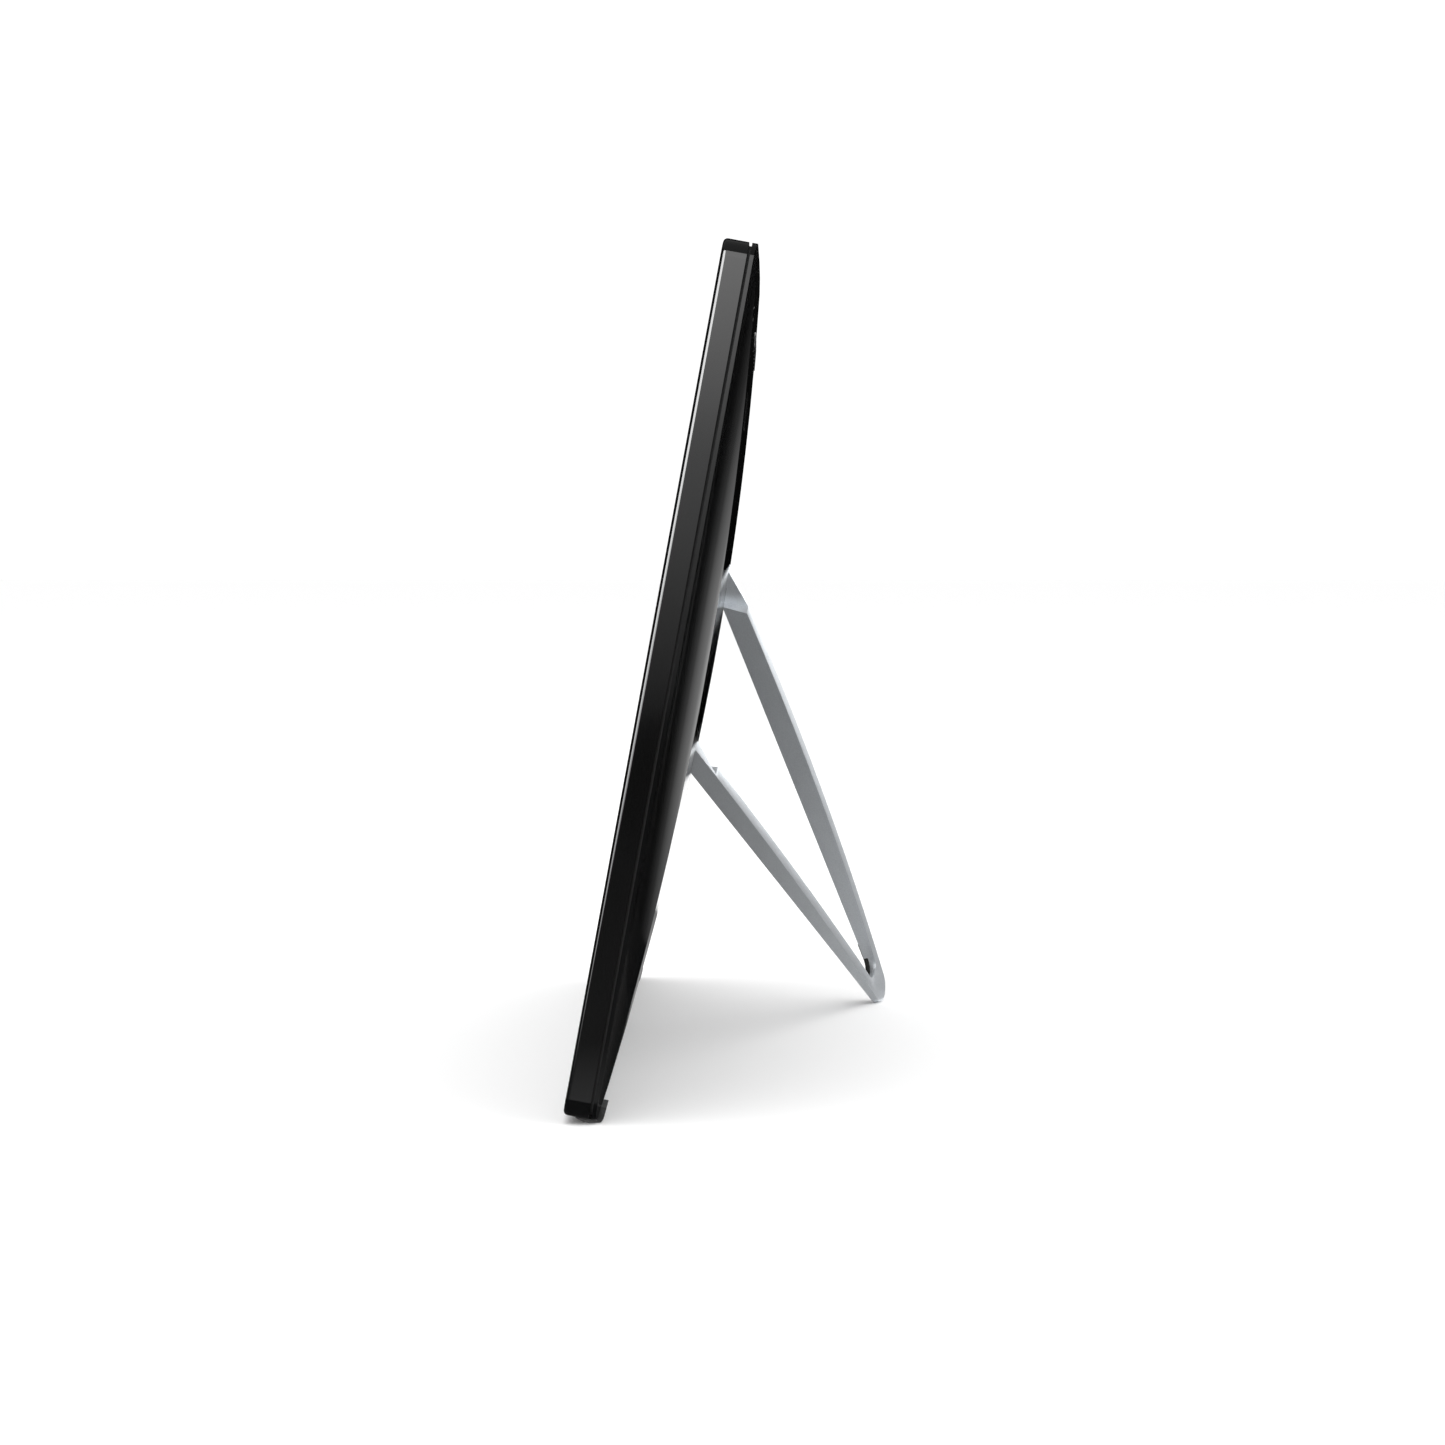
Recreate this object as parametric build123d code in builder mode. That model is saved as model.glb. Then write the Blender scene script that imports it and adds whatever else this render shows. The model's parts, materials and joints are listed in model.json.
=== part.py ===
"""Leaning digital photo frame with a leaf-shaped folding stand, in millimetres.

Row frame: X runs along the screen, +Y points to the rear, +Z points up, and the table is Z = 0.
Places inside the body are given as (across, up, depth): across runs along X from the body's
middle, up runs along the leaning screen from the table contact, and depth is measured rearwards
from the front face.
"""
from build123d import *
from math import asin, atan2, cos, hypot, radians, sin, sqrt, tan
import os

os.makedirs("parts", exist_ok=True)

# ---------------------------------------------------------------- driving dimensions
LEAN = 10.45  # backward lean of the screen, degrees
FOOT_LIFT = 0.85  # thickness of the rubber feet below the body
FOOT_LENGTH = 11.0
ORIGIN_SHIFT = (FOOT_LIFT / 2, -38.59, 1.03)  # centres the whole object over the origin

WIDTH = 270.0
HEIGHT = 189.9
MID_UP = FOOT_LIFT + HEIGHT / 2
CORNER_R = 4.0

BEZEL_DEPTH = 5.48
BEZEL_WALL = 1.9
BEZEL_FACE = 1.6
FRONT_ROUND = 1.0
GROOVE = 0.68  # joint line between bezel and rear cover
GROOVE_SINK = 0.8
COVER_START = BEZEL_DEPTH + GROOVE
BAND_END = 6.98  # straight edge band of the rear cover
SKIN = 1.5
CREST = 13.5  # greatest thickness of the body, at its middle
ARC_UP = 820.0  # radius of the back in the upright direction
ARC_ACROSS = 14000.0  # radius of the slight crown across the width
BEVEL_IN = 13.0
BEVEL_TOP = 13.9
COVE_SAG = 1.5  # hollow of the bevel along the left and right edges

WINDOW = (219.0, 137.5)
PANE = (227.0, 145.0)
PANEL = (230.0, 146.0)
PANE_THICK = 0.7
CELL_THICK = 1.1
GUIDE_THICK = 1.0
TRAY_THICK = 0.3
PLATE_THICK = 0.5
PANE_AT = BEZEL_FACE
CELL_AT = PANE_AT + PANE_THICK
GUIDE_AT = CELL_AT + CELL_THICK
TRAY_AT = GUIDE_AT + GUIDE_THICK
PLATE_AT = TRAY_AT + TRAY_THICK
PLATE_BACK = PLATE_AT + PLATE_THICK

HINGE_AT = (4.2, 99.1, 9.9)
OPENING = 29.5  # travel of the stand from folded to open, degrees
LOOP_TILT = 0.8  # the folded loop dips towards its tip, degrees
LOOP_LENGTH = 136.33
HALF_BASE = 32.3
TIP_R = 4.5
ARM_WIDTH = 2.85
INNER_START = 3.0
ISLAND_START = 4.0  # edge of the cover's island inside the leaf, clear of the turning bar
INNER_END = LOOP_LENGTH - 9.6
INNER_TIP_R = 3.3
LOOP_UNDER = -2.1  # flat underside, from the hinge axis
BAR_R = 2.2
BAR_TOP = 3.1  # height of the open bar above the hinge axis, below the cover's surface
SHAFT_R = 0.9
SHAFT_HALF = HALF_BASE + 9.7
FLUSH_GAP = 0.1
SLOT_GAP = 0.4
SLOT_WALL = 1.2
FLOOR_GAP = 0.3
FLOOR_WALL = 0.85
LUG_R = 3.4
LUG_ANGLE = 24.0

BOARD_AT = 6.8
BOARD_THICK = 1.0
BOARD_BACK = BOARD_AT + BOARD_THICK
BOARD_LEFT = -123.1
BOARD_RIGHT = -48.0
BOARD_LOW = 86.0
BOARD_HIGH = 147.0
PORT_FACE = -123.0

KEY_UP = 175.0
KEY_PITCH = 18.0
KEY_NAMES = ("power_key", "menu_key", "back_key", "previous_key", "next_key", "select_key")
KEY_SIZE = (9.6, 4.6)
KEY_FOOT = 6.55
KEY_BOARD_AT = 3.4

COVER_SCREWS = [(side * 122, up) for side in (-1, 1) for up in (15.5, 176.0)]
PLATE_SCREWS = [(side * 118.5, up) for side in (-1, 1) for up in (76.0, 152.0)]
CLIP_SPOTS = [(-106.0, 18.0), (60.0, 18.0)]
BOARD_SCREWS = [(across, up) for across in (-112.0, -52.0) for up in (89.5, 144.5)]
KEY_BOARD_SCREWS = [(-58.0, KEY_UP), (58.0, KEY_UP)]
SPEAKERS = [(-92.0, 157.0), (92.0, 157.0)]

# ---------------------------------------------------------------- directions and planes
ACROSS_DIR = Vector(1, 0, 0)
UP_DIR = Vector(0, sin(radians(LEAN)), cos(radians(LEAN)))
REAR_DIR = Vector(0, cos(radians(LEAN)), -sin(radians(LEAN)))


def at(across, up, depth):
    """A point of the row frame from its place in the body."""
    return Vector(*ORIGIN_SHIFT) + ACROSS_DIR * across + UP_DIR * up + REAR_DIR * depth


def layer(depth):
    """Plane parallel to the screen: x is across, y is up, and it faces the viewer."""
    return Plane(origin=at(0, 0, depth), x_dir=ACROSS_DIR, z_dir=-REAR_DIR)


def section(across):
    """Plane square to the width: x is depth and y is up."""
    return Plane(origin=at(across, 0, 0), x_dir=REAR_DIR, z_dir=ACROSS_DIR)


def plan(up):
    """Plane square to the height: x is across and y is depth."""
    return Plane(origin=at(0, up, 0), x_dir=ACROSS_DIR, z_dir=UP_DIR)


def finish(piece, name):
    """Labels a finished piece and writes it."""
    piece.part.label = name
    export_step(piece.part, f"parts/{name}.step")


# The stand's own plane when folded: x runs from the hinge to the tip, y along the hinge, z rearwards.
LEAF_DIR = (ACROSS_DIR + UP_DIR) * (-1 / sqrt(2))
HINGE_DIR = (UP_DIR - ACROSS_DIR) * (1 / sqrt(2))
TILT_COS = cos(radians(LOOP_TILT))
TILT_SIN = sin(radians(LOOP_TILT))
FOLDED = Plane(
    origin=at(*HINGE_AT),
    x_dir=LEAF_DIR * TILT_COS - REAR_DIR * TILT_SIN,
    z_dir=REAR_DIR * TILT_COS + LEAF_DIR * TILT_SIN,
)
HINGE_AXIS = Axis(at(*HINGE_AT), -HINGE_DIR)


def hinge_plane(along):
    """Plane square to the hinge axis, `along` from its middle: its y is the stand's z."""
    middle = at(*HINGE_AT) + HINGE_DIR * along
    return Plane(origin=middle, x_dir=FOLDED.x_dir, z_dir=-HINGE_DIR)


# ---------------------------------------------------------------- shared shapes
def outline(inset):
    """Rounded outline of the body, shrunk by `inset`, in the open sketch."""
    with Locations((0, MID_UP)):
        RectangleRounded(WIDTH - 2 * inset, HEIGHT - 2 * inset, CORNER_R - min(inset, 3.2))


def back_volume(inset, start):
    """All that lies behind depth `start` inside the back's outer shape, shrunk by `inset`."""
    edge = HEIGHT / 2 + 12
    sag = edge**2 / (2 * ARC_UP)
    half = WIDTH / 2 - inset
    with BuildPart() as volume:
        for across in (-140, 0, 140):
            crest = CREST - inset - across**2 / (2 * ARC_ACROSS)
            with BuildSketch(section(across)):
                with BuildLine():
                    low = (crest - sag, MID_UP - edge)
                    high = (crest - sag, MID_UP + edge)
                    ThreePointArc(low, (crest, MID_UP), high)
                    Polyline(high, (1, MID_UP + edge), (1, MID_UP - edge), low)
                make_face()
        loft()
        with BuildSketch(layer(start)):
            outline(inset)
        extrude(amount=start - CREST - 6, mode=Mode.INTERSECT)
        with BuildSketch(plan(MID_UP)):
            with BuildLine():
                left = SagittaArc((-half, BAND_END), (BEVEL_IN - half, BEVEL_TOP), -COVE_SAG)
                right = SagittaArc((half - BEVEL_IN, BEVEL_TOP), (half, BAND_END), -COVE_SAG)
                Line(left @ 1, right @ 0)
                Polyline(right @ 1, (half, -1), (-half, -1), left @ 0)
            make_face()
        extrude(amount=HEIGHT, both=True, mode=Mode.INTERSECT)
    return volume.part


TAPER = atan2(HALF_BASE, LOOP_LENGTH - TIP_R)
TAPER -= asin(TIP_R / hypot(HALF_BASE, LOOP_LENGTH - TIP_R))


def leaf(start, half, end, end_r, mode=Mode.ADD):
    """Leaf shape in the open sketch: straight sides, `half` from the x axis at 0, and a round tip."""
    touch = (end - end_r + end_r * sin(TAPER), end_r * cos(TAPER))
    low = (start, start * tan(TAPER) - half)
    high = (start, half - start * tan(TAPER))
    with BuildLine() as edge:
        Line(high, touch)
        ThreePointArc(touch, (end, 0), (touch[0], -touch[1]))
        Polyline((touch[0], -touch[1]), low, high)
    make_face(edge.edges(), mode=mode)


def leaf_ring(grow, base_start, hole_start):
    """The loop's band in the open sketch, grown by `grow` on both its sides."""
    wider = grow / cos(TAPER)
    narrower = (ARM_WIDTH + grow) / cos(TAPER)
    leaf(base_start, HALF_BASE + wider, LOOP_LENGTH + grow, TIP_R + grow)
    leaf(hole_start, HALF_BASE - narrower, INNER_END - grow, INNER_TIP_R - grow, Mode.SUBTRACT)


def pie(radius, start, end):
    """Sector of a disc in the open sketch, between two angles in degrees."""
    rim = [
        (radius * cos(radians(angle)), radius * sin(radians(angle)))
        for angle in (start, (start + end) / 2, end)
    ]
    with BuildLine() as edge:
        Polyline(rim[2], (0, 0), rim[0])
        ThreePointArc(*rim)
    make_face(edge.edges())


def rods(spots, radius, near, far):
    """Round rods square to the screen, from depth `near` to depth `far`."""
    with BuildPart() as group:
        with BuildSketch(layer(near)):
            with Locations(*spots):
                Circle(radius)
        extrude(amount=near - far)
    return group.part


def slabs(spots, size, near, far, corner=0.0):
    """Rectangular slabs square to the screen, `size` across by up, from `near` to `far`."""
    with BuildPart() as group:
        with BuildSketch(layer(near)):
            with Locations(*spots):
                if corner:
                    RectangleRounded(*size, corner)
                else:
                    Rectangle(*size)
        extrude(amount=near - far)
    return group.part


def screws(spots, seat, length, shank_r, head_r, head_h):
    """Pan-head screws driven from the rear, heads on depth `seat`, with a cross recess."""
    with BuildPart() as group:
        add(rods(spots, shank_r, seat - length, seat))
        add(rods(spots, head_r, seat, seat + head_h))
        rim = group.edges().group_by(Axis(at(0, 0, 0), REAR_DIR))[-1]
        fillet(rim, 0.35 * head_h)
        slot = (1.15 * head_r, 0.3 * head_r)
        add(slabs(spots, slot, seat + 0.5 * head_h, seat + head_h), mode=Mode.SUBTRACT)
        add(slabs(spots, slot[::-1], seat + 0.5 * head_h, seat + head_h), mode=Mode.SUBTRACT)
    return group.part


# ---------------------------------------------------------------- rear cover
outer_back = back_volume(0, COVER_START)
skin_limit = back_volume(0.5, BEZEL_DEPTH - 0.6)
SLOT_FLOOR = LOOP_UNDER - FLOOR_GAP
SLOT_REACH = HALF_BASE + SLOT_GAP
TIP_SPOT = HINGE_AT[0] - (LOOP_LENGTH - TIP_R) / sqrt(2)
NOTCH_FLOOR = 5.6
BRACKET_FROM = HALF_BASE + 2.7
BRACKET_TO = HALF_BASE + 6.7
EAR_AT = -2.6  # front face of the bracket's ears, from the hinge axis
EAR_THICK = 1.2
HINGE_SCREWS = [(x, side * (HALF_BASE + 4.7)) for x in (-5.6, 5.6) for side in (-1, 1)]

with BuildPart() as trough:  # walls and floor of the groove that the folded stand lies in
    with BuildSketch(FOLDED.offset(SLOT_FLOOR - FLOOR_WALL)):
        leaf_ring(SLOT_GAP + SLOT_WALL, -3.8, ISLAND_START + SLOT_WALL)
    extrude(amount=14)
    with BuildSketch(hinge_plane(0)):
        Circle(BAR_R + 0.3 + SLOT_WALL)
    extrude(amount=SLOT_REACH + SLOT_WALL, both=True)
    with BuildSketch(hinge_plane(0)):
        pie(LUG_R + 1.5, 158, 180 + OPENING + LUG_ANGLE)
    extrude(amount=5.6, both=True)
    add(slabs([(TIP_SPOT, 5.0)], (22, 5), NOTCH_FLOOR - FLOOR_WALL, NOTCH_FLOOR + 0.3))
    add(skin_limit, mode=Mode.INTERSECT)

with BuildPart() as inner_bosses:  # port block, screw bosses and hinge bosses under the skin
    add(slabs([(-127.4, 118.5)], (8.4, 61), COVER_START, CREST))
    add(rods(COVER_SCREWS, 3.2, COVER_START, CREST))
    with BuildSketch(FOLDED.offset(EAR_AT + EAR_THICK)):
        with Locations(*HINGE_SCREWS):
            Circle(1.9)
    extrude(amount=6)
    add(skin_limit, mode=Mode.INTERSECT)

with BuildPart() as rear_cover:
    add(outer_back)
    add(back_volume(SKIN, COVER_START), mode=Mode.SUBTRACT)
    with BuildSketch(layer(BEZEL_DEPTH)):  # shoulder that sits on the bezel and forms the groove
        outline(GROOVE_SINK)
        with Locations((0, MID_UP)):
            Rectangle(WIDTH - 6, HEIGHT - 6, mode=Mode.SUBTRACT)
    extrude(amount=-GROOVE - 0.3)
    with BuildSketch(layer(BEZEL_DEPTH - 1.1)):  # locating lip inside the bezel wall
        outline(BEZEL_WALL + 0.05)
        with Locations((0, MID_UP)):
            Rectangle(WIDTH - 6, HEIGHT - 6, mode=Mode.SUBTRACT)
    extrude(amount=-1.1)
    add(trough.part)
    add(inner_bosses.part)
    with BuildSketch(layer(0)):  # room for the bezel's wall
        with Locations((0, MID_UP)):
            Rectangle(WIDTH + 2, HEIGHT + 2)
            Rectangle(
                WIDTH - 2 * BEZEL_WALL - 0.1, HEIGHT - 2 * BEZEL_WALL - 0.1, mode=Mode.SUBTRACT
            )
    extrude(amount=-BEZEL_DEPTH, mode=Mode.SUBTRACT)

    # groove for the folded stand, with the hinge trough, the stop pocket and the finger notch
    with BuildSketch(FOLDED.offset(SLOT_FLOOR)):
        leaf_ring(SLOT_GAP, -2.6, ISLAND_START)
    extrude(amount=14, mode=Mode.SUBTRACT)
    with BuildSketch(hinge_plane(0)):
        Circle(BAR_R + 0.3)
    extrude(amount=SLOT_REACH, both=True, mode=Mode.SUBTRACT)
    with BuildSketch(hinge_plane(0)):
        pie(LUG_R + 0.3, 180 - LUG_ANGLE / 2 - 3, 180 + OPENING + LUG_ANGLE / 2 + 0.4)
    extrude(amount=4.4, both=True, mode=Mode.SUBTRACT)
    add(slabs([(TIP_SPOT, 1.5)], (20, 9), NOTCH_FLOOR, CREST, 3.5), mode=Mode.SUBTRACT)

    # bores for the hinge shaft, and relief in the skin over the shaft's ends
    with BuildSketch(hinge_plane(0)):
        Circle(SHAFT_R + 0.15)
    extrude(amount=SLOT_REACH + SLOT_WALL + 1, both=True, mode=Mode.SUBTRACT)
    for side in (-1, 1):
        with BuildSketch(hinge_plane(side * (BRACKET_FROM - 0.2))):
            Circle(1.8)
        extrude(amount=-side * 8.2, mode=Mode.SUBTRACT)
    with BuildSketch(FOLDED.offset(EAR_AT + EAR_THICK)):
        with Locations(*HINGE_SCREWS):
            Circle(0.8)
    extrude(amount=1.9, mode=Mode.SUBTRACT)

    # screw holes and their counterbores
    add(rods(COVER_SCREWS, 1.3, BEZEL_DEPTH, 7.7), mode=Mode.SUBTRACT)
    add(rods(COVER_SCREWS, 2.7, 7.6, CREST), mode=Mode.SUBTRACT)

    # key holes, speaker slots and ports
    key_spots = [((i - 2.5) * KEY_PITCH, KEY_UP) for i in range(6)]
    key_hole = (KEY_SIZE[0] + 0.6, KEY_SIZE[1] + 0.6)
    add(slabs(key_spots, key_hole, COVER_START, CREST, 2.5), mode=Mode.SUBTRACT)
    with BuildSketch(layer(COVER_START)):
        with Locations(*SPEAKERS):
            with GridLocations(2.8, 0, 9, 1):
                SlotOverall(9, 1.3, rotation=90)
    extrude(amount=-8, mode=Mode.SUBTRACT)
    with BuildSketch(section(-124)):
        with Locations((8.9, 129)):
            RectangleRounded(2.5, 25, 0.4)
        with Locations((9.2, 110)):
            RectangleRounded(3.0, 8.0, 0.7)
        with Locations((9.4, 97)):
            Circle(1.6)
    extrude(amount=-14, mode=Mode.SUBTRACT)
finish(rear_cover, "rear_cover")

# ---------------------------------------------------------------- front shell and display stack
BEZEL_POSTS = [(KEY_BOARD_SCREWS, 2.2, KEY_BOARD_AT), (PLATE_SCREWS, 2.6, PLATE_AT)]
BEZEL_POSTS += [(CLIP_SPOTS, 2.6, PLATE_AT), (COVER_SCREWS, 3.0, COVER_START)]

with BuildPart() as front_bezel:
    with BuildSketch(layer(0)):
        outline(0)
    extrude(amount=-BEZEL_DEPTH)
    front_rim = front_bezel.edges().group_by(Axis(at(0, 0, 0), REAR_DIR))[0]
    fillet(front_rim, FRONT_ROUND)
    with BuildSketch(layer(BEZEL_FACE)):
        with Locations((0, MID_UP)):
            RectangleRounded(WIDTH - 2 * BEZEL_WALL, HEIGHT - 2 * BEZEL_WALL, 1.5)
    extrude(amount=-BEZEL_DEPTH, mode=Mode.SUBTRACT)
    with BuildSketch(layer(BEZEL_FACE)):
        with Locations((0, MID_UP)):
            RectangleRounded(*WINDOW, 0.5)
    extrude(amount=BEZEL_FACE, taper=-30, mode=Mode.SUBTRACT)
    for spots, radius, height in BEZEL_POSTS:
        add(rods(spots, radius, BEZEL_FACE - 0.1, height))
    add(rods(COVER_SCREWS, 1.2, 2.6, COVER_START), mode=Mode.SUBTRACT)
    add(rods(PLATE_SCREWS + CLIP_SPOTS, 0.9, 2.6, PLATE_AT), mode=Mode.SUBTRACT)
    add(rods(KEY_BOARD_SCREWS, 0.8, 2.0, KEY_BOARD_AT), mode=Mode.SUBTRACT)
finish(front_bezel, "front_bezel")

with BuildPart() as screen_window:
    add(slabs([(0, MID_UP)], PANE, PANE_AT, CELL_AT, 1.0))
finish(screen_window, "screen_window")

with BuildPart() as lcd_panel:
    add(slabs([(0, MID_UP)], PANEL, CELL_AT, GUIDE_AT))
finish(lcd_panel, "lcd_panel")

LED_HEIGHT = 2.4
with BuildPart() as light_guide:
    size = (PANEL[0] - 2, PANEL[1] - 2 - LED_HEIGHT)
    add(slabs([(0, MID_UP + LED_HEIGHT / 2)], size, GUIDE_AT, TRAY_AT))
finish(light_guide, "light_guide")

with BuildPart() as led_strip:
    low_edge = MID_UP - PANEL[1] / 2 + 1
    add(slabs([(0, low_edge + 0.4)], (PANEL[0] - 6, 0.8), GUIDE_AT, TRAY_AT))
    lamps = [((i - 13.5) * 8, low_edge + 1.4) for i in range(28)]
    add(slabs(lamps, (3.6, 1.2), GUIDE_AT + 0.2, TRAY_AT - 0.2))
finish(led_strip, "led_strip")

with BuildPart() as panel_tray:
    add(slabs([(0, MID_UP)], PANEL, GUIDE_AT, PLATE_AT))
    inside = (PANEL[0] - 1, PANEL[1] - 1)
    add(slabs([(0, MID_UP)], inside, GUIDE_AT, TRAY_AT), mode=Mode.SUBTRACT)
finish(panel_tray, "panel_tray")

with BuildPart() as chassis_plate:
    add(slabs([(0, 113.0)], (243, 106), PLATE_AT, PLATE_BACK, 4))
    add(slabs([(-82, 70.0), (48, 130), (48, 94)], (30, 12), 5, 7, 3), mode=Mode.SUBTRACT)
    add(rods(BOARD_SCREWS, 2.2, PLATE_BACK, BOARD_AT))
    add(rods(BOARD_SCREWS, 0.9, PLATE_AT, BOARD_AT), mode=Mode.SUBTRACT)
    add(rods(PLATE_SCREWS, 1.0, PLATE_AT, PLATE_BACK), mode=Mode.SUBTRACT)
finish(chassis_plate, "chassis_plate")

with BuildPart() as panel_clips:
    add(slabs([(x, y + 4.0) for x, y in CLIP_SPOTS], (12, 14), PLATE_AT, PLATE_BACK, 1.5))
    add(rods(CLIP_SPOTS, 1.0, PLATE_AT, PLATE_BACK), mode=Mode.SUBTRACT)
finish(panel_clips, "panel_clips")

with BuildPart() as chassis_screws:
    add(screws(PLATE_SCREWS + CLIP_SPOTS, PLATE_BACK, 2.4, 0.9, 1.8, 1.1))
finish(chassis_screws, "chassis_screws")

with BuildPart() as cover_screws:
    add(screws(COVER_SCREWS, 7.6, 4.8, 1.2, 2.3, 1.3))
finish(cover_screws, "cover_screws")

# ---------------------------------------------------------------- electronics
BOARD_MID = ((BOARD_LEFT + BOARD_RIGHT) / 2, (BOARD_LOW + BOARD_HIGH) / 2)
BOARD_SIZE = (BOARD_RIGHT - BOARD_LEFT, BOARD_HIGH - BOARD_LOW)

with BuildPart() as main_board:
    add(slabs([BOARD_MID], BOARD_SIZE, BOARD_AT, BOARD_BACK, 1.0))
    add(rods(BOARD_SCREWS, 1.0, BOARD_AT, BOARD_BACK), mode=Mode.SUBTRACT)
finish(main_board, "main_board")

with BuildPart() as board_screws:
    add(screws(BOARD_SCREWS, BOARD_BACK, 1.8, 0.9, 1.8, 1.1))
finish(board_screws, "board_screws")

with BuildPart() as processor:
    add(slabs([(-76, 112)], (15, 15), BOARD_BACK, BOARD_BACK + 1.3, 0.4))
finish(processor, "processor")

with BuildPart() as memory_chips:
    add(slabs([(-58, 106), (-58, 118)], (8, 10), BOARD_BACK, BOARD_BACK + 0.9, 0.3))
finish(memory_chips, "memory_chips")

with BuildPart() as power_coils:
    coil_spots = [(-107, 103), (-98, 103), (-89, 99)]
    add(slabs(coil_spots, (6.4, 6.4), BOARD_BACK, BOARD_BACK + 2.2, 1.2))
    add(rods(coil_spots, 2.2, BOARD_BACK + 1.9, BOARD_BACK + 2.2), mode=Mode.SUBTRACT)
finish(power_coils, "power_coils")

with BuildPart() as cell_holder:
    add(slabs([(-62, 134)], (15, 15), BOARD_BACK, BOARD_BACK + 1.6, 1.0))
    add(rods([(-62, 134)], 6.3, BOARD_BACK + 0.4, BOARD_BACK + 1.6), mode=Mode.SUBTRACT)
finish(cell_holder, "cell_holder")

with BuildPart() as coin_cell:
    add(rods([(-62, 134)], 6.2, BOARD_BACK + 0.4, BOARD_BACK + 2.2))
finish(coin_cell, "coin_cell")

with BuildPart() as card_socket:
    add(slabs([(PORT_FACE + 14, 129)], (28, 26), BOARD_BACK, BOARD_BACK + 2.2, 0.3))
    add(slabs([(PORT_FACE + 12, 129)], (25, 24.2), 8.0, 9.8), mode=Mode.SUBTRACT)
finish(card_socket, "card_socket")

with BuildPart() as usb_socket:
    with BuildSketch(section(PORT_FACE)):
        with Locations((9.2, 110)):
            RectangleRounded(2.8, 7.8, 0.6)
            RectangleRounded(2.2, 7.2, 0.4, mode=Mode.SUBTRACT)
    extrude(amount=6)
    with BuildSketch(section(PORT_FACE + 5)):
        with Locations((9.2, 110)):
            RectangleRounded(2.8, 7.8, 0.6)
    extrude(amount=1.5)
    with BuildSketch(section(PORT_FACE + 0.8)):
        with Locations((9.3, 110)):
            Rectangle(0.7, 5.0)
    extrude(amount=4.4)
finish(usb_socket, "usb_socket")

with BuildPart() as power_jack:
    with BuildSketch(section(PORT_FACE)):
        with Locations((9.4, 97)):
            Rectangle(3.2, 6.5)
    extrude(amount=9)
    with BuildSketch(section(PORT_FACE)):
        with Locations((9.4, 97)):
            Circle(1.5)
            Circle(0.45, mode=Mode.SUBTRACT)
    extrude(amount=7, mode=Mode.SUBTRACT)
finish(power_jack, "power_jack")

with BuildPart() as flex_connector:
    add(slabs([(-82, 89)], (24, 4), BOARD_BACK, BOARD_BACK + 1.3, 0.3))
finish(flex_connector, "flex_connector")

with BuildPart() as display_flex:  # ribbon from the panel to the board's lower edge
    under = PLATE_AT + 0.1
    over = PLATE_BACK + 0.15
    with BuildSketch(section(-92)):
        with BuildLine():
            Polyline((under, 51), (under, 57), (over, 59), (over, 82), (8.4, 84.6), (8.4, 87))
        trace(line_width=0.14)
    extrude(amount=20)
finish(display_flex, "display_flex")

with BuildPart() as speakers:
    add(slabs(SPEAKERS, (34, 13), PLATE_BACK, 7.6, 2.0))
    add(slabs(SPEAKERS, (29, 10), 7.6, 8.0, 2.0))
    add(slabs(SPEAKERS, (26, 7.4), 7.5, 8.0, 3.0), mode=Mode.SUBTRACT)
finish(speakers, "speakers")

with BuildPart() as speaker_gaskets:
    add(slabs(SPEAKERS, (34, 13), 7.6, 8.15, 2.0))
    add(slabs(SPEAKERS, (29.4, 10.4), 7.6, 8.2, 2.0), mode=Mode.SUBTRACT)
finish(speaker_gaskets, "speaker_gaskets")

# ---------------------------------------------------------------- keys
with BuildPart() as key_board:
    add(slabs([(0, KEY_UP)], (124, 11), KEY_BOARD_AT, KEY_BOARD_AT + 1.0, 1.0))
    add(rods(KEY_BOARD_SCREWS, 0.9, KEY_BOARD_AT, KEY_BOARD_AT + 1), mode=Mode.SUBTRACT)
finish(key_board, "key_board")

with BuildPart() as key_board_screws:
    add(screws(KEY_BOARD_SCREWS, KEY_BOARD_AT + 1.0, 2.2, 0.8, 1.6, 1.0))
finish(key_board_screws, "key_board_screws")

with BuildPart() as key_switches:
    add(slabs(key_spots, (6, 6), KEY_BOARD_AT + 1, 5.6, 0.4))
    add(rods(key_spots, 1.6, 5.6, 5.8))
finish(key_switches, "key_switches")

key_limit = back_volume(-0.2, COVER_START)
for (across, up), name in zip(key_spots, KEY_NAMES):
    with BuildPart() as key:
        add(slabs([(across, up)], KEY_SIZE, COVER_START, CREST, 2.25))
        add(key_limit, mode=Mode.INTERSECT)
        top_rim = key.faces().sort_by(Axis(at(0, 0, 0), REAR_DIR))[-1].edges()
        fillet(top_rim, 0.3)
        add(slabs([(across, up)], KEY_SIZE, KEY_FOOT, COVER_START + 1, 2.25))
        add(slabs([(across, up)], (11.6, 6.4), KEY_FOOT, KEY_FOOT + 0.6, 3.0))
    finish(key, name)

# ---------------------------------------------------------------- rubber feet
body_hull = slabs([(0, MID_UP)], (WIDTH, HEIGHT), 0, COVER_START, CORNER_R)


def foot_profile():
    """Section of a rubber foot in the open sketch: x is depth, y is height above the contact."""
    with BuildLine() as edge:
        under = Spline((2.7, 0.62), (3.7, 0.27), (5.0, 0.1), (5.7, -0.02))
        Line(under @ 1, (7.8, 0.38))
        heel = Spline((7.8, 0.38), (8.5, 0.95), (8.78, 2.1), tangents=[(2.1, 0.4), (0.1, 1)])
        Polyline(heel @ 1, (8.93, 3.9), (6.5, 3.9), (6.5, 1.6), (2.7, 1.6), under @ 0)
    make_face(edge.edges())


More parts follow.
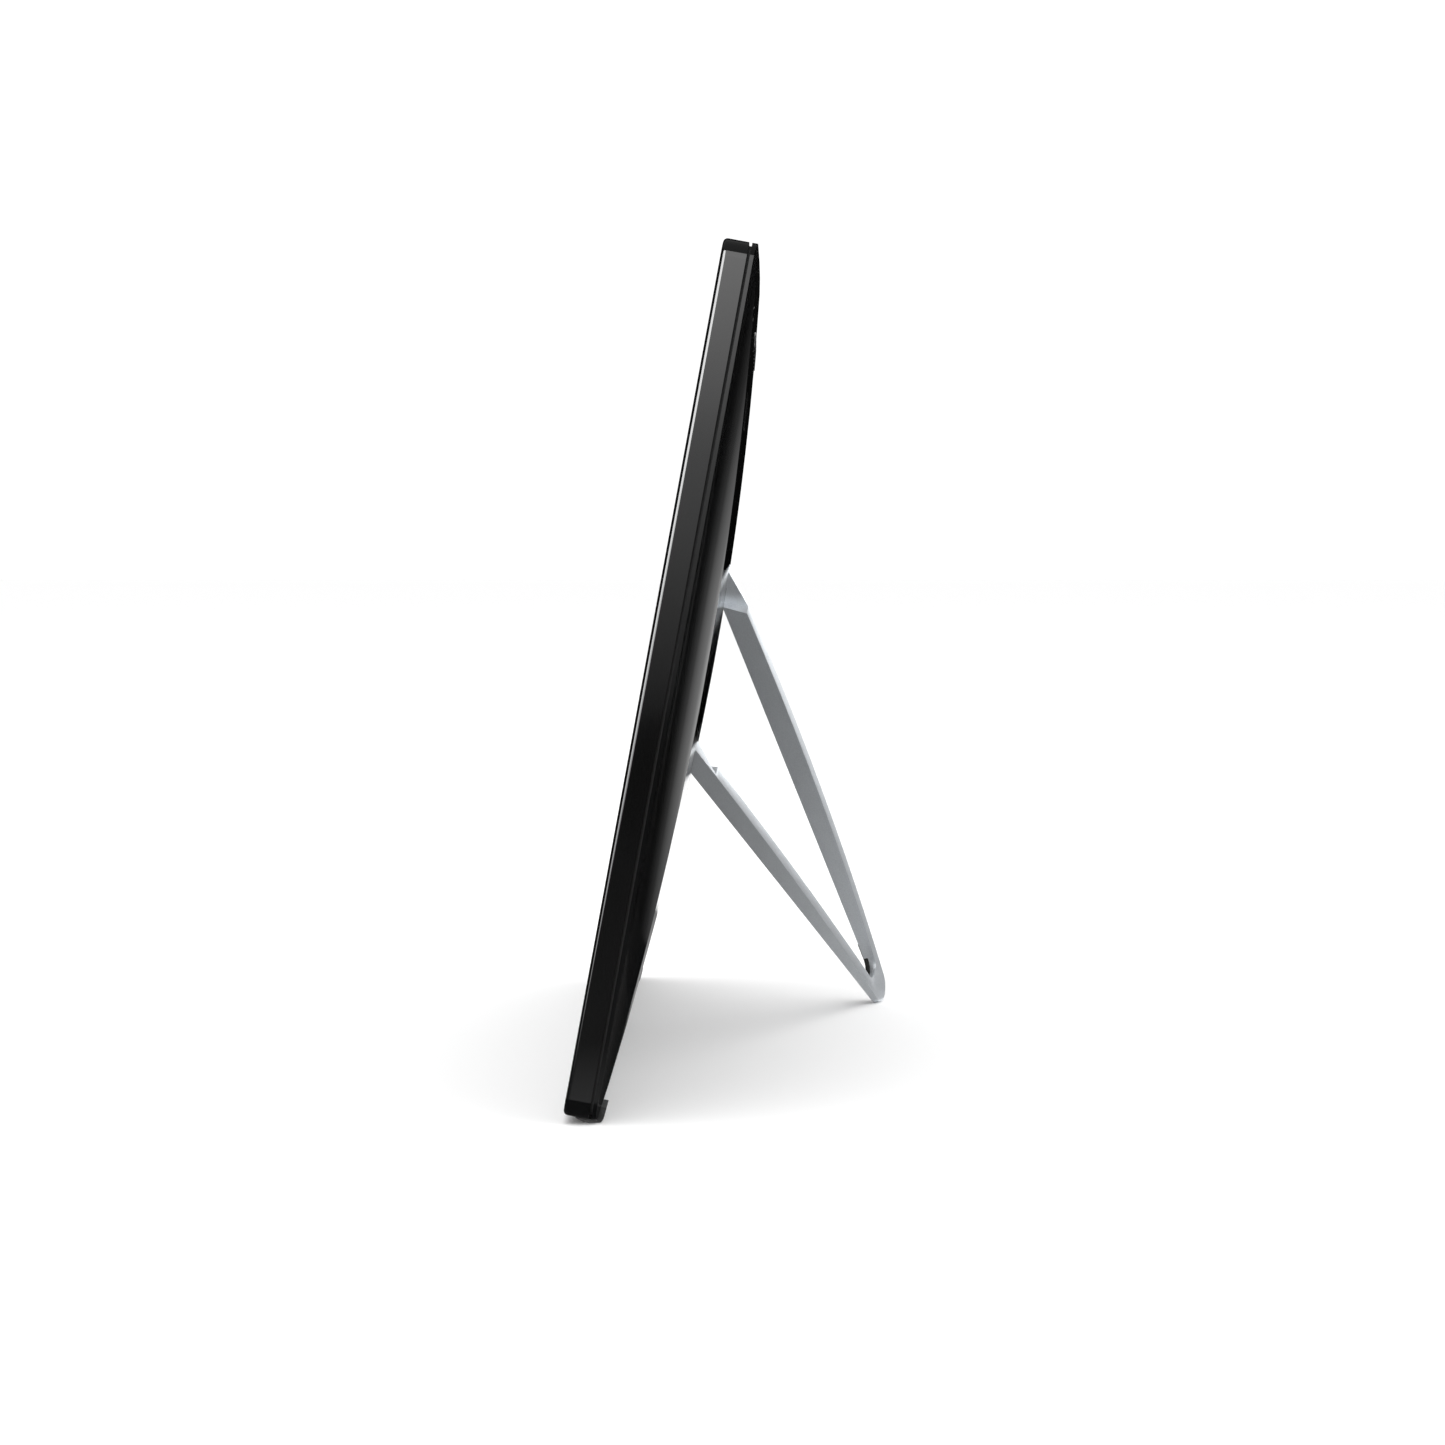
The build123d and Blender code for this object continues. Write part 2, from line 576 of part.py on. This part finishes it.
with BuildPart() as bottom_feet:
    for first in (131.0 - FOOT_LENGTH, -131.0):
        with BuildSketch(section(first)):
            foot_profile()
        extrude(amount=FOOT_LENGTH)
    add(body_hull, mode=Mode.SUBTRACT)
    add(outer_back, mode=Mode.SUBTRACT)
    split(bisect_by=Plane.XY, keep=Keep.TOP)
finish(bottom_feet, "bottom_feet")

with BuildPart() as side_feet:
    for top in (12.0 + FOOT_LENGTH, 181.0):
        side_plane = Plane(
            origin=at(-WIDTH / 2 - FOOT_LIFT, top, 0), x_dir=REAR_DIR, z_dir=-UP_DIR
        )
        with BuildSketch(side_plane):
            foot_profile()
        extrude(amount=FOOT_LENGTH)
    add(body_hull, mode=Mode.SUBTRACT)
    add(outer_back, mode=Mode.SUBTRACT)
finish(side_feet, "side_feet")

# ---------------------------------------------------------------- hinge and stand
with BuildPart() as hinge_brackets:
    for side in (-1, 1):
        with BuildSketch(hinge_plane(side * BRACKET_FROM)):
            Circle(1.65)
            with Locations((0, EAR_AT / 2)):
                Rectangle(3.3, -EAR_AT)
            with Locations((0, EAR_AT + EAR_THICK / 2)):
                Rectangle(16, EAR_THICK)
            Circle(SHAFT_R + 0.05, mode=Mode.SUBTRACT)
        extrude(amount=-side * (BRACKET_TO - BRACKET_FROM))
    with BuildSketch(FOLDED.offset(EAR_AT)):
        with Locations(*HINGE_SCREWS):
            Circle(0.9)
    extrude(amount=EAR_THICK, mode=Mode.SUBTRACT)
finish(hinge_brackets, "hinge_brackets")

with BuildPart() as hinge_screws:
    with BuildSketch(FOLDED.offset(EAR_AT)):
        with Locations(*HINGE_SCREWS):
            Circle(0.8)
    extrude(amount=2.9)
    with BuildSketch(FOLDED.offset(EAR_AT - 0.4)):
        with Locations(*HINGE_SCREWS):
            Circle(1.5)
    extrude(amount=0.4)
finish(hinge_screws, "hinge_screws")

with BuildPart() as hinge_shaft:
    with BuildSketch(hinge_plane(0)):
        Circle(SHAFT_R)
    extrude(amount=SHAFT_HALF, both=True)
    chamfer(hinge_shaft.edges().filter_by(GeomType.CIRCLE), 0.2)
finish(hinge_shaft, "hinge_shaft")

with BuildPart() as friction_washers:
    for side in (-1, 1):
        for gap in (0.05, 0.55, 1.05):
            with BuildSketch(hinge_plane(side * (BRACKET_TO + gap))):
                Circle(1.5)
                Circle(SHAFT_R, mode=Mode.SUBTRACT)
            extrude(amount=-side * 0.45)
finish(friction_washers, "friction_washers")

with BuildPart() as shaft_clips:
    for side in (-1, 1):
        with BuildSketch(hinge_plane(side * (BRACKET_TO + 1.55))):
            Circle(1.6)
            Circle(SHAFT_R, mode=Mode.SUBTRACT)
        extrude(amount=-side * 0.6)
finish(shaft_clips, "shaft_clips")

PAD_FROM = LOOP_LENGTH - 17.0
PAD_PROUD = 0.2
PAD_SUNK = 1.1
with BuildPart() as pad_block:
    with BuildSketch(FOLDED.offset(LOOP_UNDER - PAD_PROUD)):
        leaf(PAD_FROM, HALF_BASE - 1.1 / cos(TAPER), LOOP_LENGTH - 1.1, TIP_R - 1.1)
        half = HALF_BASE - ARM_WIDTH / cos(TAPER)
        leaf(PAD_FROM - 1, half, INNER_END, INNER_TIP_R, Mode.SUBTRACT)
    extrude(amount=PAD_PROUD + PAD_SUNK)

with BuildPart() as folded_loop:
    with BuildSketch(FOLDED.offset(LOOP_UNDER)):
        leaf_ring(0, 0, INNER_START)
    extrude(amount=9)
    add(back_volume(FLUSH_GAP, 2.0), mode=Mode.INTERSECT)
    with BuildSketch(hinge_plane(0)):  # the bar is chamfered, so that it stays below the cover when open
        with Locations(Rotation(0, 0, -OPENING) * Pos(0, BAR_TOP + 5)):
            Rectangle(20, 10)
    extrude(amount=HALF_BASE - ARM_WIDTH - 0.4, both=True, mode=Mode.SUBTRACT)
    with BuildSketch(hinge_plane(0)):
        Circle(BAR_R)
    extrude(amount=HALF_BASE, both=True)
    with BuildSketch(hinge_plane(0)):
        pie(LUG_R, 180 - LUG_ANGLE / 2, 180 + LUG_ANGLE / 2)
    extrude(amount=4, both=True)
    with BuildSketch(hinge_plane(0)):
        Circle(SHAFT_R)
    extrude(amount=HALF_BASE + 1, both=True, mode=Mode.SUBTRACT)
    add(pad_block.part, mode=Mode.SUBTRACT)

with BuildPart() as stand_loop:
    add(folded_loop.part.rotate(HINGE_AXIS, OPENING))
finish(stand_loop, "stand_loop")

with BuildPart() as stand_pad:
    add(pad_block.part.rotate(HINGE_AXIS, OPENING))
finish(stand_pad, "stand_pad")
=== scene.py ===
"""Looks of the leaning photo frame: surface finishes, softened edges, studio, floor and camera."""

import bpy
from math import cos, radians, sin
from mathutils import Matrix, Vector
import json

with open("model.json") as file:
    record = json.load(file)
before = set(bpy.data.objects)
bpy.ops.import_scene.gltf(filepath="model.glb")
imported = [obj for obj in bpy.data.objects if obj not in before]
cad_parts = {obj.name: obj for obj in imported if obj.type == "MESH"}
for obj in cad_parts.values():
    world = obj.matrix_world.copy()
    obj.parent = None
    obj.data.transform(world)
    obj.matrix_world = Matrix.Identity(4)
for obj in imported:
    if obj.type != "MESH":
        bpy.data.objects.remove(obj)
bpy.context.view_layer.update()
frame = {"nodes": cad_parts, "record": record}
nodes = frame["nodes"]

MM = 0.001
LEAN = radians(10.45)  # backward lean of the screen
REAR_DIR = Vector((0, cos(LEAN), -sin(LEAN)))


# ---------------------------------------------------------------- material helpers
class Finish:
    """A node material under construction, with one Principled shader."""

    def __init__(self, name, rough, metal=0.0, coat=0.0, ior=1.5):
        self.material = bpy.data.materials.new(name)
        self.material.use_nodes = True
        self.tree = self.material.node_tree
        self.shader = self.tree.nodes["Principled BSDF"]
        self.shader.inputs["Metallic"].default_value = metal
        self.shader.inputs["Roughness"].default_value = rough
        self.shader.inputs["IOR"].default_value = ior
        self.shader.inputs["Coat Weight"].default_value = coat
        self.shader.inputs["Coat Roughness"].default_value = 0.03
        self.place = self.add("ShaderNodeTexCoord").outputs["Object"]

    def add(self, kind, **settings):
        node = self.tree.nodes.new(kind)
        for key, value in settings.items():
            setattr(node, key, value)
        return node

    def link(self, source, target):
        self.tree.links.new(source, target)

    def stretched(self, scale):
        """Object coordinates multiplied by `scale`, for grain that runs one way."""
        mapping = self.add("ShaderNodeMapping")
        mapping.inputs["Scale"].default_value = scale
        self.link(self.place, mapping.inputs["Vector"])
        return mapping.outputs["Vector"]

    def noise(self, scale, detail=3.0, place=None):
        node = self.add("ShaderNodeTexNoise")
        node.inputs["Scale"].default_value = scale
        node.inputs["Detail"].default_value = detail
        self.link(place or self.place, node.inputs["Vector"])
        return node.outputs["Fac"]

    def cells(self, scale, place=None):
        node = self.add("ShaderNodeTexVoronoi")
        node.inputs["Scale"].default_value = scale
        self.link(place or self.place, node.inputs["Vector"])
        return node.outputs["Distance"]

    def ramp(self, value, low, high, start=0.3, end=0.7):
        """Colour that runs from `low` to `high` as `value` runs from `start` to `end`."""
        node = self.add("ShaderNodeValToRGB")
        for stop, position, color in zip(node.color_ramp.elements, (start, end), (low, high)):
            stop.position = position
            stop.color = (*color, 1)
        self.link(value, node.inputs["Fac"])
        return node.outputs["Color"]

    def spread(self, value, low, high):
        """`value` from 0.3 to 0.7 remapped to `low` to `high`."""
        node = self.add("ShaderNodeMapRange")
        for socket, number in zip(("From Min", "From Max", "To Min", "To Max"), (0.3, 0.7, low, high)):
            node.inputs[socket].default_value = number
        self.link(value, node.inputs["Value"])
        return node.outputs["Result"]

    def color(self, value):
        self.link(value, self.shader.inputs["Base Color"])

    def roughness(self, value):
        self.link(value, self.shader.inputs["Roughness"])

    def bump(self, height, strength, distance):
        node = self.add("ShaderNodeBump")
        node.inputs["Strength"].default_value = strength
        node.inputs["Distance"].default_value = distance
        self.link(height, node.inputs["Height"])
        self.link(node.outputs["Normal"], self.shader.inputs["Normal"])


def gloss_black(name, tone, rough, texture_depth):
    """Polished black moulding: faint tone variation, hairline wipe marks and a very slight ripple."""
    finish = Finish(name, rough, coat=0.35)
    finish.color(finish.ramp(finish.noise(38), [tone * 0.8] * 3, [tone * 1.15, tone * 1.2, tone * 1.3]))
    wipes = finish.noise(60, 6, finish.stretched((1.0, 7.0, 1.0)))
    finish.roughness(finish.spread(wipes, rough * 0.75, rough * 1.35))
    finish.bump(finish.noise(220, 2), 0.12, texture_depth)
    return finish.material


BODY_ORIGIN = Vector((0.425, -38.59, 1.03)) * MM  # table contact of the body's front face
JOINT_FRONT = BODY_ORIGIN.dot(REAR_DIR) + 5.48 * MM  # joint line between the two shells
JOINT_REAR = JOINT_FRONT + 0.68 * MM
JOINT_MARGIN = 0.02 * MM
JOINT_ROUGHNESS = 0.95


def dull_joint(material):
    """Dulls the sunk joint line between bezel and cover, which polishing doesn't reach."""
    tree = material.node_tree
    shader = tree.nodes["Principled BSDF"]
    polish = shader.inputs["Roughness"].links[0].from_socket
    place = tree.nodes.new("ShaderNodeTexCoord")
    depth = tree.nodes.new("ShaderNodeVectorMath")
    inside = tree.nodes.new("ShaderNodeMath")
    choice = tree.nodes.new("ShaderNodeMix")
    depth.operation = "DOT_PRODUCT"
    depth.inputs[1].default_value = REAR_DIR
    inside.operation = "COMPARE"
    inside.inputs[1].default_value = (JOINT_FRONT + JOINT_REAR) / 2
    inside.inputs[2].default_value = (JOINT_REAR - JOINT_FRONT) / 2 - JOINT_MARGIN
    choice.inputs[3].default_value = JOINT_ROUGHNESS
    tree.links.new(place.outputs["Object"], depth.inputs[0])
    tree.links.new(depth.outputs["Value"], inside.inputs[0])
    tree.links.new(inside.outputs["Value"], choice.inputs[0])
    tree.links.new(polish, choice.inputs[2])
    tree.links.new(choice.outputs[0], shader.inputs["Roughness"])
    shader.inputs["Coat Weight"].default_value = 0.0
    return material


def matte_plastic(name, low, high, rough, grain=2600):
    """Moulded plastic with a fine spark-eroded texture."""
    finish = Finish(name, rough)
    finish.color(finish.ramp(finish.noise(90, 4), low, high))
    finish.roughness(finish.spread(finish.noise(400), rough - 0.08, rough + 0.08))
    finish.bump(finish.noise(grain, 2), 0.35, 0.00004)
    return finish.material


def metal(name, low, high, rough, stretch, grain_depth):
    """Metal with a grain that runs along one direction."""
    finish = Finish(name, rough, metal=1.0)
    place = finish.stretched(stretch)
    finish.color(finish.ramp(finish.noise(140, 5, place), low, high))
    finish.roughness(finish.spread(finish.noise(900, 4, place), rough - 0.05, rough + 0.06))
    finish.bump(finish.noise(2400, 3, place), 0.3, grain_depth)
    return finish.material


def satin_silver():
    """Satin silver paint: fine sparkle and a soft broad reflection."""
    finish = Finish("satin_silver", 0.4, metal=0.7)
    finish.shader.inputs["Specular IOR Level"].default_value = 0.5
    speckle = finish.noise(3200, 3)
    finish.color(finish.ramp(speckle, (0.68, 0.71, 0.74), (0.8, 0.83, 0.86), 0.25, 0.75))
    finish.roughness(finish.spread(finish.noise(1500, 3), 0.36, 0.46))
    finish.bump(finish.noise(2600, 3), 0.25, 0.00003)
    return finish.material


def circuit_board():
    """Green solder mask over a pattern of copper traces and pads."""
    finish = Finish("circuit_board", 0.35, coat=0.3)
    traces = finish.add("ShaderNodeTexBrick")
    traces.inputs["Scale"].default_value = 260
    traces.inputs["Mortar Size"].default_value = 0.05
    traces.inputs["Color1"].default_value = (0.012, 0.075, 0.035, 1)
    traces.inputs["Color2"].default_value = (0.014, 0.09, 0.04, 1)
    traces.inputs["Mortar"].default_value = (0.03, 0.16, 0.06, 1)
    finish.link(finish.stretched((1.0, 0.4, 1.0)), traces.inputs["Vector"])
    finish.color(traces.outputs["Color"])
    finish.roughness(finish.spread(finish.noise(300), 0.28, 0.42))
    finish.bump(traces.outputs["Fac"], 0.4, 0.00003)
    return finish.material


def screen():
    """Switched-off screen behind glass: near-black, with fine dots and a faint smear."""
    finish = Finish("screen_off", 0.035, coat=0.6)
    dots = finish.cells(2400)
    finish.color(finish.ramp(dots, (0.006, 0.007, 0.010), (0.010, 0.011, 0.015), 0.2, 0.6))
    finish.roughness(finish.spread(finish.noise(18, 5), 0.025, 0.06))
    finish.bump(finish.noise(25, 2), 0.05, 0.00002)
    return finish.material


def rubber(name, tone):
    """Dull rubber with a fine skin and a little dust."""
    finish = Finish(name, 0.72)
    finish.color(finish.ramp(finish.noise(160, 5), [tone * 0.8] * 3, [tone * 1.6] * 3))
    finish.roughness(finish.spread(finish.noise(500), 0.62, 0.82))
    finish.bump(finish.noise(3000, 3), 0.5, 0.00005)
    return finish.material


FINISHES = {
    "bezel_gloss": gloss_black("bezel_gloss", 0.003, 0.055, 0.00002),
    "cover_gloss": dull_joint(gloss_black("cover_gloss", 0.003, 0.07, 0.00002)),
    "key_gloss": gloss_black("key_gloss", 0.016, 0.12, 0.00003),
    "window": screen(),
    "lcd": screen(),
    "guide": matte_plastic("acrylic_guide", (0.7, 0.72, 0.74), (0.82, 0.84, 0.86), 0.2, 900),
    "circuit_board": circuit_board(),
    "sheet_steel": metal("sheet_steel", (0.42, 0.43, 0.44), (0.58, 0.59, 0.6), 0.32, (1, 8, 8), 0.00003),
    "screw_steel": metal("blackened_steel", (0.05, 0.05, 0.055), (0.1, 0.1, 0.11), 0.34, (2, 2, 2), 0.00003),
    "socket_metal": metal("nickel_shell", (0.55, 0.54, 0.51), (0.7, 0.69, 0.66), 0.24, (1, 6, 6), 0.00002),
    "black_plastic": matte_plastic("black_plastic", (0.012, 0.012, 0.013), (0.03, 0.03, 0.032), 0.5),
    "coil_ferrite": matte_plastic("ferrite", (0.05, 0.05, 0.052), (0.1, 0.1, 0.105), 0.6),
    "flex_film": matte_plastic("amber_film", (0.35, 0.17, 0.03), (0.5, 0.27, 0.06), 0.3, 500),
    "foam": rubber("black_foam", 0.03),
    "rubber": rubber("foot_rubber", 0.011),
    "satin_metal": satin_silver(),
    "hinge_steel": metal("hinge_steel", (0.38, 0.38, 0.39), (0.52, 0.52, 0.53), 0.3, (2, 2, 9), 0.00003),
    "cell_steel": metal("cell_steel", (0.6, 0.6, 0.58), (0.74, 0.74, 0.72), 0.2, (3, 3, 3), 0.00001),
}
for row in frame["record"]["subparts"]:
    materials = nodes[row["node"]].data.materials
    materials.clear()
    materials.append(FINISHES[row["material_slot"]])


# ---------------------------------------------------------------- softened edges
def soften(node, width, segments, angle):
    """Rounds a CAD piece's hard edges a little, as moulding and tumbling leave them."""
    piece = nodes[node]
    weld = piece.modifiers.new("weld", "WELD")
    weld.merge_threshold = 0.002 * MM
    bevel = piece.modifiers.new("edges", "BEVEL")
    bevel.width = width
    bevel.segments = segments
    bevel.limit_method = "ANGLE"
    bevel.angle_limit = radians(angle)
    bevel.harden_normals = True
    bevel.use_clamp_overlap = True


SHARP_ANGLE = 35
soften("stand_loop", 0.45 * MM, 4, SHARP_ANGLE)
soften("stand_pad", 0.3 * MM, 3, SHARP_ANGLE)


# ---------------------------------------------------------------- floor, light and camera
def floor_material():
    """Plain pale floor with almost no gloss."""
    material = bpy.data.materials.new("floor_white")
    material.use_nodes = True
    shader = material.node_tree.nodes["Principled BSDF"]
    shader.inputs["Base Color"].default_value = (0.97, 0.97, 0.97, 1)
    shader.inputs["Roughness"].default_value = 0.9
    shader.inputs["Specular IOR Level"].default_value = 0.1
    return material


def sheet_object(name, corners, material):
    """A flat stage piece from its four corners."""
    mesh = bpy.data.meshes.new(name)
    mesh.from_pydata([tuple(c) for c in corners], [], [(0, 1, 2, 3)])
    mesh.materials.append(material)
    thing = bpy.data.objects.new(name, mesh)
    bpy.context.scene.collection.objects.link(thing)
    return thing


def flat_corners(x_range, y_range, height):
    """Corners of a level rectangle."""
    (left, right), (front, rear) = x_range, y_range
    return [(left, front, height), (right, front, height), (right, rear, height), (left, rear, height)]


def upright_corners(start, end, foot, top):
    """Corners of an upright rectangle over the line from `start` to `end`."""
    return [(*start, foot), (*end, foot), (*end, top), (*start, top)]


def graded(tree, place, stops, axis, low, high):
    """Grey that runs through `stops` of (position, tone) along an axis, `low` to `high` metres."""
    spread = tree.nodes.new("ShaderNodeMapRange")
    curve = tree.nodes.new("ShaderNodeValToRGB")
    spread.inputs["From Min"].default_value = low
    spread.inputs["From Max"].default_value = high
    elements = curve.color_ramp.elements
    while len(elements) < len(stops):
        elements.new(0.5)
    for element, (position, tone) in zip(elements, stops):
        element.position = position
        element.color = (tone, tone, tone, 1)
    tree.links.new(place.outputs[axis], spread.inputs["Value"])
    tree.links.new(spread.outputs["Result"], curve.inputs["Fac"])
    return curve.outputs["Color"]


def card_material(name, stops, axis, low, high, fade):
    """Emission graded along an axis, and faded along Z by `fade`: its stops, low and high."""
    material = bpy.data.materials.new(name)
    material.use_nodes = True
    tree = material.node_tree
    tree.nodes.clear()
    place = tree.nodes.new("ShaderNodeTexCoord")
    split = tree.nodes.new("ShaderNodeSeparateXYZ")
    product = tree.nodes.new("ShaderNodeMix")
    glow = tree.nodes.new("ShaderNodeEmission")
    output = tree.nodes.new("ShaderNodeOutputMaterial")
    top = max(strength for _, strength in stops)
    tones = [(position, strength / top) for position, strength in stops]
    glow.inputs["Strength"].default_value = top
    product.data_type = "RGBA"
    product.blend_type = "MULTIPLY"
    product.inputs[0].default_value = 1.0
    tree.links.new(place.outputs["Object"], split.inputs["Vector"])
    tree.links.new(graded(tree, split, tones, axis, low, high), product.inputs[6])
    tree.links.new(graded(tree, split, fade[0], "Z", fade[1], fade[2]), product.inputs[7])
    tree.links.new(product.outputs[2], glow.inputs["Color"])
    tree.links.new(glow.outputs["Emission"], output.inputs["Surface"])
    return material


NO_FADE = ([(0.0, 1.0), (1.0, 1.0)], 0.0, 1.0)


def card(name, corners, stops, axis, low, high, fade=NO_FADE):
    """A studio card that shows only in reflections."""
    thing = sheet_object(name, corners, card_material(name, stops, axis, low, high, fade))
    thing.visible_camera = False
    thing.visible_diffuse = False
    thing.visible_shadow = False
    thing.visible_transmission = False


def table_card(name, x_range, y_range, stops):
    """A card lying on the table, graded along X."""
    card(name, flat_corners(x_range, y_range, TABLE), stops, "X", *x_range)


def wall_card(name, start, end, foot, top, stops):
    """An upright card, graded from foot to top."""
    card(name, upright_corners(start, end, foot, top), stops, "Z", foot, top)


FLOOR_SPAN = (-14.0, 14.0)
TABLE = 0.001  # height of cards that lie on the table
FOOT = 0.002  # foot of the cards that stand on the table
BODY_SIDE = 0.16  # just past the body's side that faces the camera
BEHIND = 0.1  # clear of the stand, towards the rear
SIDE_X = 2.0  # beyond the camera
SIDE_FOOT = -0.4
FAR_X = -1.1  # wall on the side away from the camera
FAR_TURN = 0.5  # where that wall changes from dark to bright
FAR_REAR = 2.4
SKIRT_TOP = 0.28
FRONT_Y = -1.6  # wall in front of the screen
WALL_TOP = 1.6

sheet_object("floor", flat_corners(FLOOR_SPAN, FLOOR_SPAN, 0), floor_material())

# camera side: a tall card, grey above and dark below, mirrored in the flat side band
wall_card("side_card", (SIDE_X, -0.22), (SIDE_X, 1.2), SIDE_FOOT, WALL_TOP,
          [(0.0, 0.05), (0.2, 0.12), (0.3, 1.0), (0.37, 2.7), (1.0, 2.7)])
# softbox in front of the camera side: the bright line along the front edge
wall_card("front_card", (SIDE_X, -0.24), (1.3, FRONT_Y), SIDE_FOOT, WALL_TOP,
          [(0.0, 1.2), (0.2, 2.0), (0.36, 14.0), (1.0, 14.0)])
# dark card over the floor on the camera side
table_card("floor_card", (BODY_SIDE, 3.4), (-1.5, 0.24), [(0.0, 0.4), (0.03, 0.1), (0.3, 0.03), (1.0, 0.03)])
# black flags on the far side and in front
wall_card("far_flag", (FAR_X, FRONT_Y), (FAR_X, FAR_TURN), FOOT, WALL_TOP, [(0.0, 0.0), (1.0, 0.02)])
wall_card("front_flag", (FAR_X, FRONT_Y), (1.2, FRONT_Y), FOOT, WALL_TOP, [(0.0, 0.02), (1.0, 0.05)])
# rear: dark table, and a card close behind that the hollow bevel mirrors, bright only at its crease
table_card("rear_card", (-3.0, 1.2), (BEHIND, FAR_REAR), [(0.0, 0.0), (1.0, 0.02)])
CREASE_SPAN = (-0.02, 0.15)
CREASE_FADE = ([(0.0, 0.4), (0.25, 0.9), (0.45, 1.0), (0.7, 0.5), (1.0, 0.25)], 0.0, 0.2)
card("crease_card", upright_corners((CREASE_SPAN[0], BEHIND), (CREASE_SPAN[1], BEHIND), 0.0, 0.26),
     [(0.0, 0.0), (0.29, 0.04), (0.43, 0.17), (0.56, 0.45),
      (0.68, 1.6), (0.79, 2.8), (0.91, 8.0), (1.0, 10.0)],
     "X", *CREASE_SPAN, CREASE_FADE)
# table under the stand, as the side walls of the stand's arms mirror it, with a dark strip behind
UNDER_SPAN = (-0.3, BODY_SIDE)
UNDER_REAR = 0.05
table_card("under_card", UNDER_SPAN, (-0.16, UNDER_REAR),
           [(0.0, 0.2), (0.3, 0.3), (0.5, 0.3), (0.62, 0.05), (1.0, 0.03)])
table_card("back_table", UNDER_SPAN, (UNDER_REAR, BEHIND), [(0.0, 0.02), (1.0, 0.02)])
# bright far wall, mirrored by the faces of the arms, over a dark skirting
wall_card("far_card", (FAR_X, FAR_TURN), (FAR_X, FAR_REAR), SKIRT_TOP, 1.8, [(0.0, 3.0), (1.0, 3.4)])
wall_card("far_skirt", (FAR_X, FAR_TURN), (FAR_X, FAR_REAR), FOOT, SKIRT_TOP, [(0.0, 0.0), (1.0, 0.02)])


def softbox(name, place, target, size, power):
    """A large soft area lamp aimed at a point."""
    lamp = bpy.data.lights.new(name, "AREA")
    lamp.shape = "RECTANGLE"
    lamp.size, lamp.size_y = size
    lamp.energy = power
    thing = bpy.data.objects.new(name, lamp)
    thing.location = place
    thing.rotation_euler = (Vector(target) - Vector(place)).to_track_quat("-Z", "Y").to_euler()
    thing.visible_glossy = False
    bpy.context.scene.collection.objects.link(thing)


softbox("overhead", (0.2, 0.1, 2.2), (0, 0, 0), (2.6, 2.6), 24)
softbox("rear_fill", (0.6, 2.0, 1.0), (0, 0, 0.1), (1.6, 1.2), 6)

WORLD_SEEN = 1.07  # white that the camera and matt surfaces see
WORLD_MIRRORED = 0.22  # darker room that glossy surfaces mirror


def studio_world():
    """White surroundings, darker where they are mirrored."""
    world = bpy.data.worlds.new("studio")
    world.use_nodes = True
    tree = world.node_tree
    path = tree.nodes.new("ShaderNodeLightPath")
    tone = tree.nodes.new("ShaderNodeMapRange")
    background = tree.nodes["Background"]
    background.inputs["Color"].default_value = (1, 1, 1, 1)
    tone.inputs["To Min"].default_value = WORLD_SEEN
    tone.inputs["To Max"].default_value = WORLD_MIRRORED
    tree.links.new(path.outputs["Is Glossy Ray"], tone.inputs["Value"])
    tree.links.new(tone.outputs["Result"], background.inputs["Strength"])
    bpy.context.scene.world = world


studio_world()

SENSOR_WIDTH = 36.0
FOCAL_LENGTH = 90.93
CAMERA_AT = (0.9078, 0.00215, 0.12273)
CAMERA_AIM = Vector((-1, -0.0083, -0.0475))
lens = bpy.data.cameras.new("camera")
lens.sensor_width = SENSOR_WIDTH
lens.lens = FOCAL_LENGTH
lens.clip_start = 0.01
lens.clip_end = 100
camera = bpy.data.objects.new("camera", lens)
camera.location = CAMERA_AT
camera.rotation_euler = CAMERA_AIM.to_track_quat("-Z", "Y").to_euler()
bpy.context.scene.collection.objects.link(camera)
bpy.context.scene.camera = camera
bpy.context.scene.view_settings.view_transform = "Standard"
